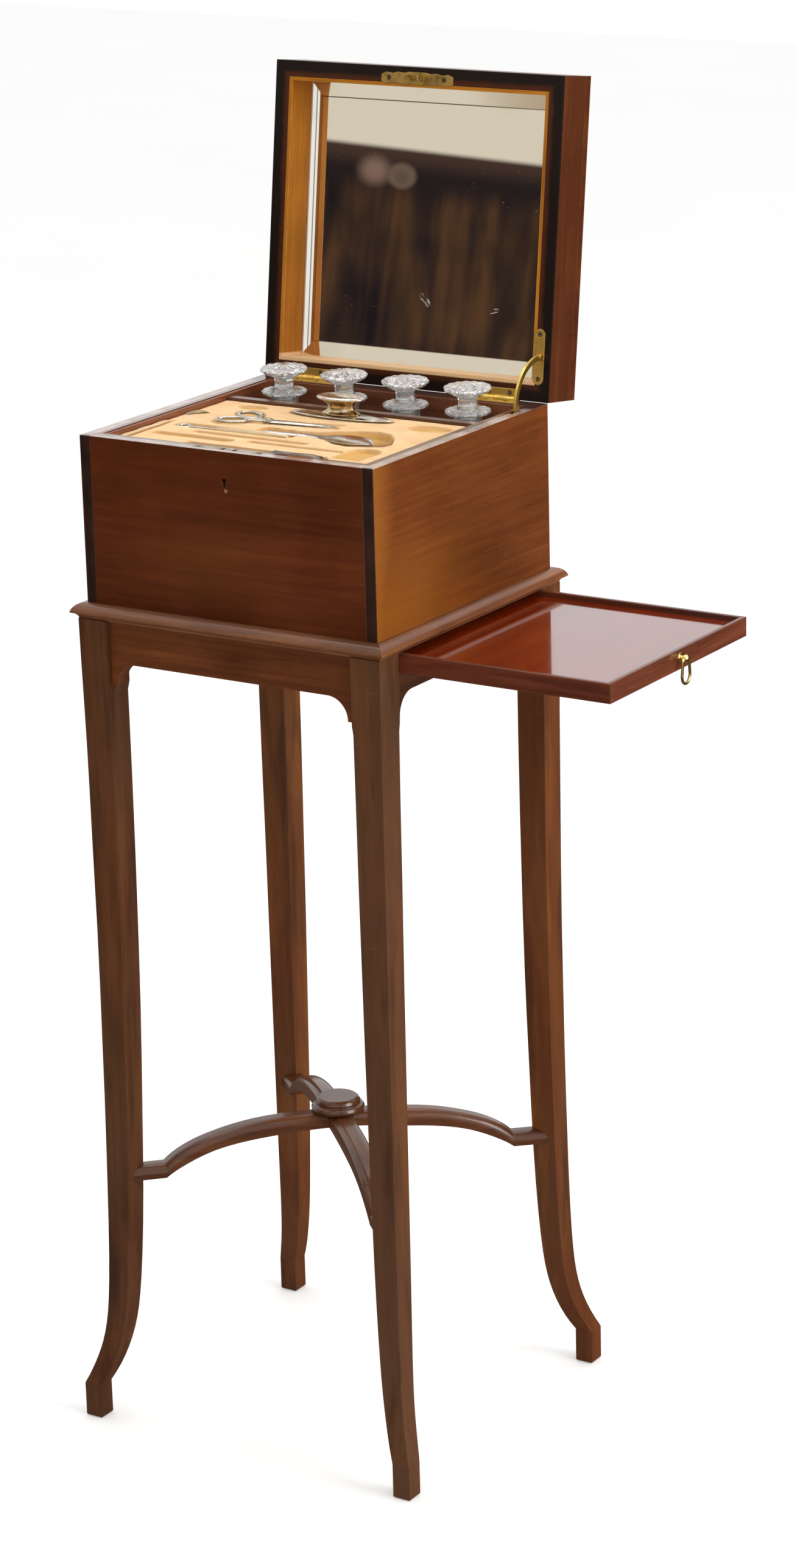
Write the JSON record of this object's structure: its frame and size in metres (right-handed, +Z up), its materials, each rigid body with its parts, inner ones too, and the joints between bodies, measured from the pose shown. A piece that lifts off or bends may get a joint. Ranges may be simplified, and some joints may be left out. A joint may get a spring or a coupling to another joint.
{
  "type": "dressing box on stand",
  "caption": "Fitted dressing box on a tall curved-leg stand: hinged mirror lid, lift-out velvet tray of manicure tools, glass bottles, and a side slide with drop pull.",
  "frame": {"origin": "floor level, in the middle of the overall outline with the slide pulled out and the lid open; the middle of the four feet is 96.9 mm to its -X and 29.02 mm to its -Y", "axes": "+Z up, the box front faces -Y, the slide pulls out towards +X, the lid opens back over +Y"},
  "size_m": [0.553, 0.4025, 1.2245],
  "materials": {
    "slide_top": "french polished mahogany, mirror gloss",
    "box_veneer": "straight striped veneer, french polished",
    "ebonised": "ebonised, polished, rubbed at the edges",
    "lining_wood": "waxed cedar-coloured lining",
    "secondary_wood": "plain unpolished inner timber",
    "brass": "lacquered brass, slightly tarnished",
    "steel": "old polished steel",
    "silver": "polished silver",
    "bone": "turned bone, polished",
    "velvet": "cream silk velvet, faded and marked",
    "leather": "chamois leather",
    "mirror_glass": "bevelled silvered plate, lightly foxed",
    "crystal": "clear cut glass",
    "polished_mahogany": "french polished mahogany, deep gloss, darker in the hollows"
  },
  "bodies": {
    "stand": {"apron_left": "polished_mahogany", "aprons_front_back": "polished_mahogany", "bottle_divider": "lining_wood", "bottles": "crystal", "box_and_boss_screws": "brass", "box_back": "box_veneer", "box_bottom": "secondary_wood", "box_front": "box_veneer", "box_left": "box_veneer", "box_lining": "lining_wood", "box_right": "box_veneer", "corner_strips": "ebonised", "hinge_box_leaves": "brass", "hinge_pins": "steel", "leg_back_left": "polished_mahogany", "leg_back_right": "polished_mahogany", "leg_front_left": "polished_mahogany", "leg_front_right": "polished_mahogany", "lock_case": "brass", "rail_right": "polished_mahogany", "slide_guides": "secondary_wood", "stand_moulding": "polished_mahogany", "stand_top": "secondary_wood", "stretcher_boss": "polished_mahogany", "stretcher_lower_member": "polished_mahogany", "stretcher_upper_member": "polished_mahogany", "tray_bearers": "secondary_wood"},
    "lid": {"lid_front": "ebonised", "lid_back": "ebonised", "lid_sides": "ebonised", "lid_top": "box_veneer", "lid_lining": "lining_wood", "mirror": "mirror_glass", "mirror_backboard": "secondary_wood", "link_plate": "brass", "stay_plate": "brass", "lid_screws_and_rivet": "brass", "hinge_lid_leaves": "brass"},
    "stay": {"lid_stay": "brass"},
    "slide": {"slide_panel": "slide_top", "slide_edging": "polished_mahogany", "slide_stop": "secondary_wood", "pull_stalk": "brass"},
    "pull": {"pull_loop": "brass"},
    "tray": {"tray_board": "secondary_wood", "tray_pad": "velvet", "buffer_pad": "leather", "buffer_base": "silver", "buffer_grip": "silver", "scissors_lower_half": "steel", "shoehorn": "silver", "hook_and_file_steel": "steel", "hook_and_file_handles": "bone"},
    "scissors_arm": {"scissors_upper_half": "steel"},
    "bolt": {"lock_bolt": "steel"},
    "stopper_a": {"stopper_1": "crystal"},
    "stopper_b": {"stopper_2": "crystal"},
    "stopper_c": {"stopper_3": "crystal"},
    "stopper_d": {"stopper_4": "crystal"}
  },
  "joints": [
    {"name": "lid_hinge", "type": "hinge", "parent": "stand", "child": "lid", "pos_m": [-0.0969, 0.11548, 0.93815], "axis": [1, 0, 0], "range_deg": [0, 97.44]},
    {"name": "stay_pivot", "type": "hinge", "parent": "lid", "child": "stay", "pos_m": [0.0466, 0.1179, 0.97868], "axis": [1, 0, 0], "range_deg": [-24.5, 0]},
    {"name": "slide_travel", "type": "slide", "parent": "stand", "child": "slide", "axis": [1, 0, 0], "range_m": [-0.2062, 0]},
    {"name": "pull_swing", "type": "hinge", "parent": "slide", "child": "pull", "pos_m": [0.2735, -0.02852, 0.7652], "axis": [0, 1, 0], "range_deg": [-100, 15]},
    {"name": "tray_lift", "type": "slide", "parent": "stand", "child": "tray", "axis": [0, 0, 1], "range_m": [0, 0.01]},
    {"name": "scissors_pivot", "type": "hinge", "parent": "tray", "child": "scissors_arm", "pos_m": [-0.1409, -0.03752, 0.934], "axis": [0, 0, 1], "range_deg": [0, 12]},
    {"name": "lock_bolt_throw", "type": "slide", "parent": "stand", "child": "bolt", "axis": [1, 0, 0], "range_m": [0, 0.0022]},
    {"name": "stopper_a_lift", "type": "slide", "parent": "stand", "child": "stopper_a", "axis": [0, 0, 1], "range_m": [0, 0.007]},
    {"name": "stopper_b_lift", "type": "slide", "parent": "stand", "child": "stopper_b", "axis": [0, 0, 1], "range_m": [0, 0.007]},
    {"name": "stopper_c_lift", "type": "slide", "parent": "stand", "child": "stopper_c", "axis": [0, 0, 1], "range_m": [0, 0.007]},
    {"name": "stopper_d_lift", "type": "slide", "parent": "stand", "child": "stopper_d", "axis": [0, 0, 1], "range_m": [0, 0.007]}
  ],
  "couplings": [
    {"joint": "stay_pivot", "follows": "lid_hinge", "ratio": -0.25}
  ]
}
